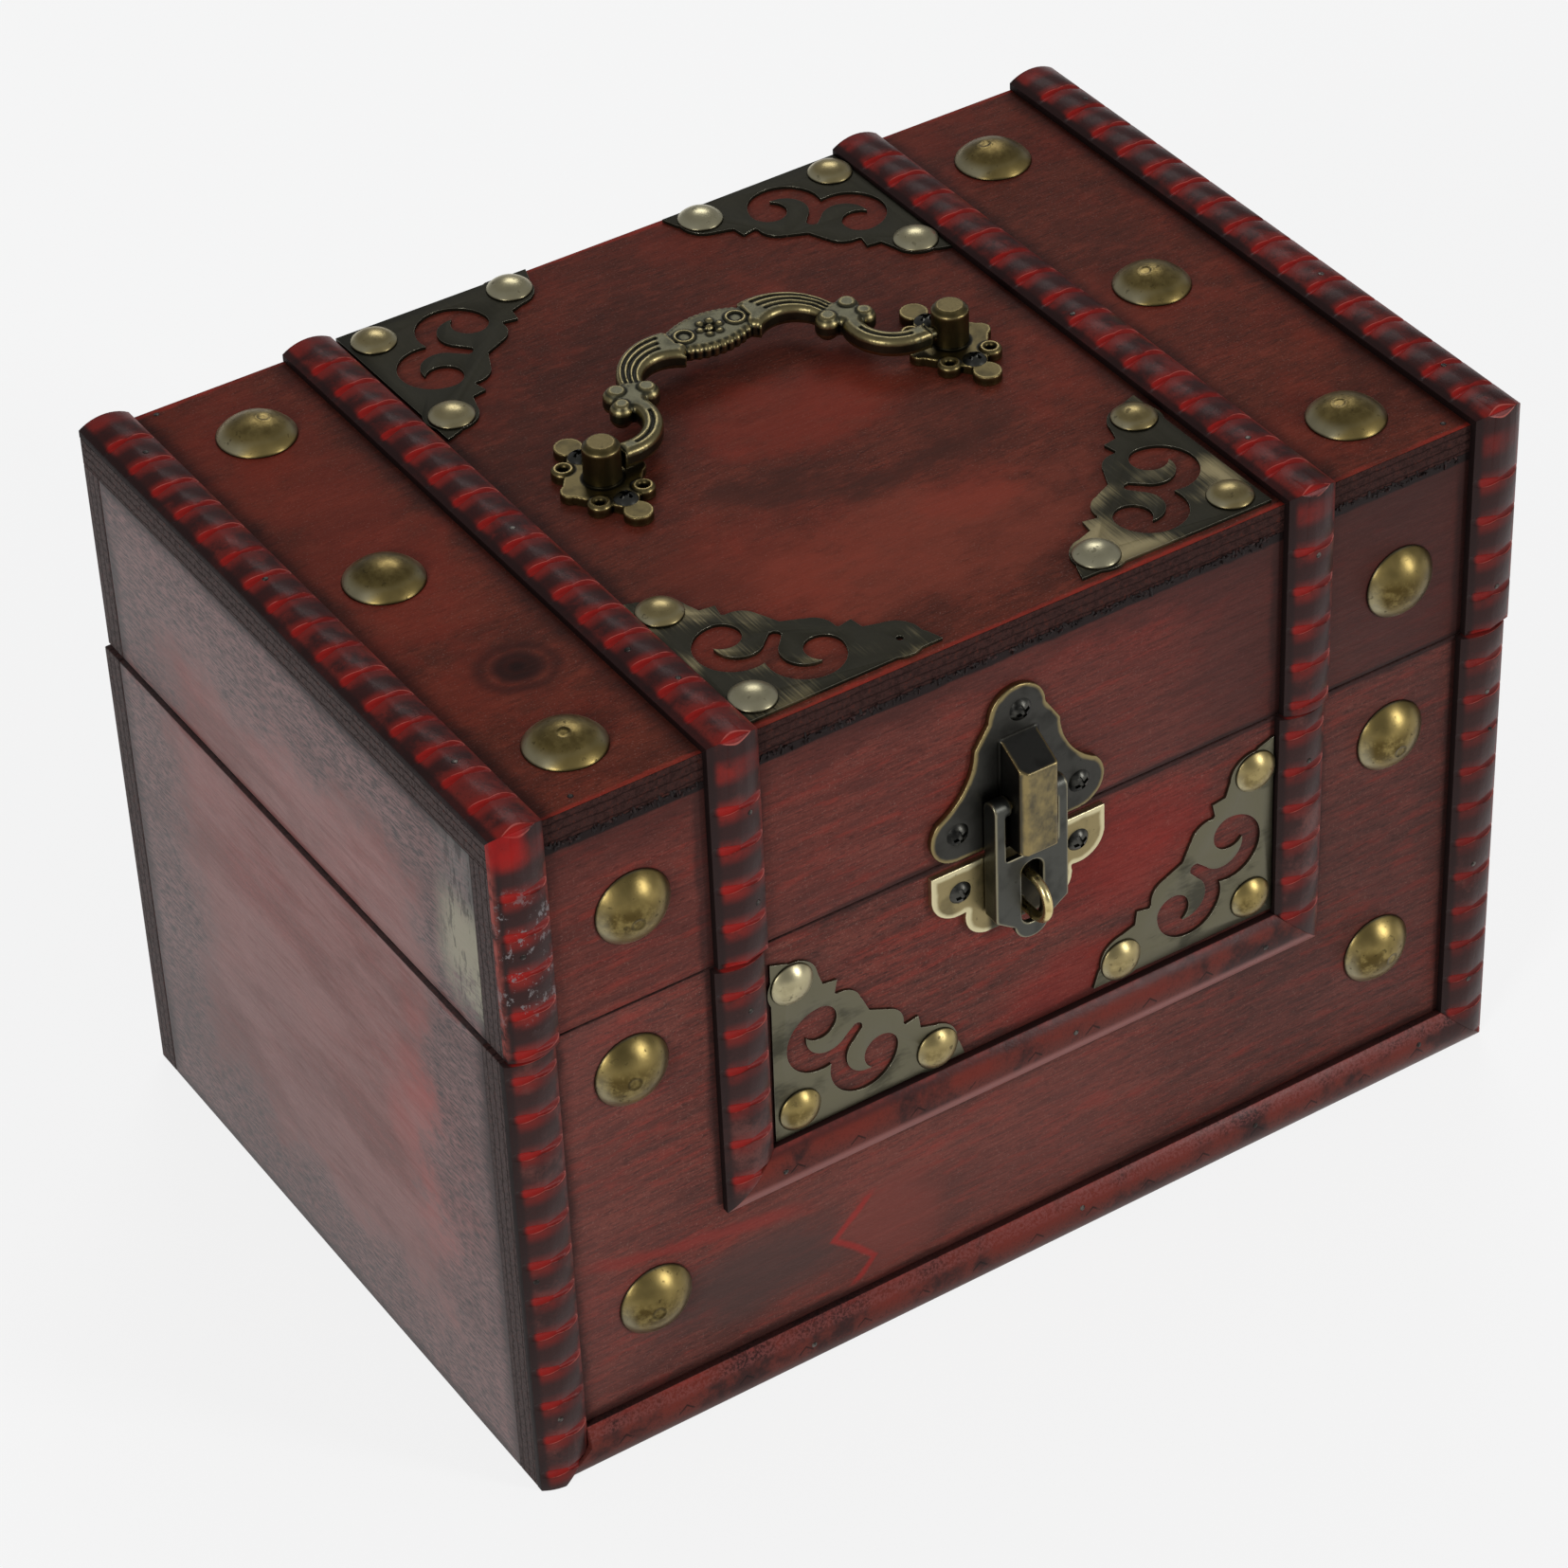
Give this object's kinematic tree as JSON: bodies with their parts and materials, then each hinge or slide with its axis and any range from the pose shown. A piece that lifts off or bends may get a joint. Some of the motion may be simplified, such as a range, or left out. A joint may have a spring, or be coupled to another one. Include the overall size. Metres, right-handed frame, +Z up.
{
  "type": "latched keepsake box",
  "caption": "Trunk-style wooden key box: plywood case and hinged lid, scalloped strips, domed tacks, pierced corner plates, hasp with staple, bail handle",
  "frame": {"origin": "middle of the underside of the case", "axes": "X to the right along the front, Y to the back where the hinges are, Z up; the latch faces -Y"},
  "size_m": [0.2209, 0.1627, 0.161],
  "materials": {
    "wood": "thin red-brown stained and varnished plywood",
    "strips": "half-round wooden trim, red lacquer rubbed over with black",
    "tacks": "antique brass domed tacks, dulled",
    "plates": "thin stamped plates, darkened bronze with rubbed high spots",
    "latch": "dark antique brass with bright worn edges",
    "staple": "bright brass wire",
    "handle": "cast handle in antique brass, dark in the hollows",
    "screws": "blackened steel screws",
    "hinges": "pressed brass-plated hinges"
  },
  "bodies": {
    "case": {"case_front_board": "wood", "case_back_board": "wood", "case_left_board": "wood", "case_right_board": "wood", "case_bottom_board": "wood", "case_strip_left": "strips", "case_strip_right": "strips", "frame_strip_left": "strips", "frame_strip_right": "strips", "frame_bar": "strips", "foot_strip": "strips", "case_plate_left": "plates", "case_plate_right": "plates", "case_big_tacks": "tacks", "case_small_tacks": "tacks", "latch_case_plate": "latch", "latch_staple": "staple", "latch_case_screws": "screws", "hinge_case_leaf_left": "hinges", "hinge_case_leaf_right": "hinges", "hinge_pins": "hinges", "hinge_case_screws": "hinges"},
    "lid": {"lid_top_board": "wood", "lid_front_board": "wood", "lid_back_board": "wood", "lid_left_board": "wood", "lid_right_board": "wood", "top_strip_far_left": "strips", "top_strip_left": "strips", "top_strip_right": "strips", "top_strip_far_right": "strips", "lid_strip_far_left": "strips", "lid_strip_left": "strips", "lid_strip_right": "strips", "lid_strip_far_right": "strips", "top_plate_front_left": "plates", "top_plate_front_right": "plates", "top_plate_back_left": "plates", "top_plate_back_right": "plates", "lid_top_tacks": "tacks", "lid_front_tacks": "tacks", "lid_small_tacks": "tacks", "latch_lid_plate": "latch", "latch_hasp_pin": "screws", "latch_lid_screws": "screws", "handle_post_left": "handle", "handle_post_right": "handle", "handle_screws": "screws", "hinge_lid_leaf_left": "hinges", "hinge_lid_leaf_right": "hinges", "hinge_lid_screws": "hinges"},
    "bail": {"handle_bail": "handle"},
    "hasp": {"latch_hasp": "latch"}
  },
  "joints": [
    {"name": "lid_hinge", "type": "hinge", "parent": "case", "child": "lid", "pos_m": [0, 0.0759, 0.10343], "axis": [-1, 0, 0], "range_deg": [0, 100]},
    {"name": "hasp_hinge", "type": "hinge", "parent": "lid", "child": "hasp", "pos_m": [-0.002, -0.07715, 0.11403], "axis": [-1, 0, 0], "range_deg": [0, 145]},
    {"name": "bail_hinge", "type": "hinge", "parent": "lid", "child": "bail", "pos_m": [-0.00115, 0.0031, 0.156], "axis": [1, 0, 0], "range_deg": [0, 174]}
  ]
}
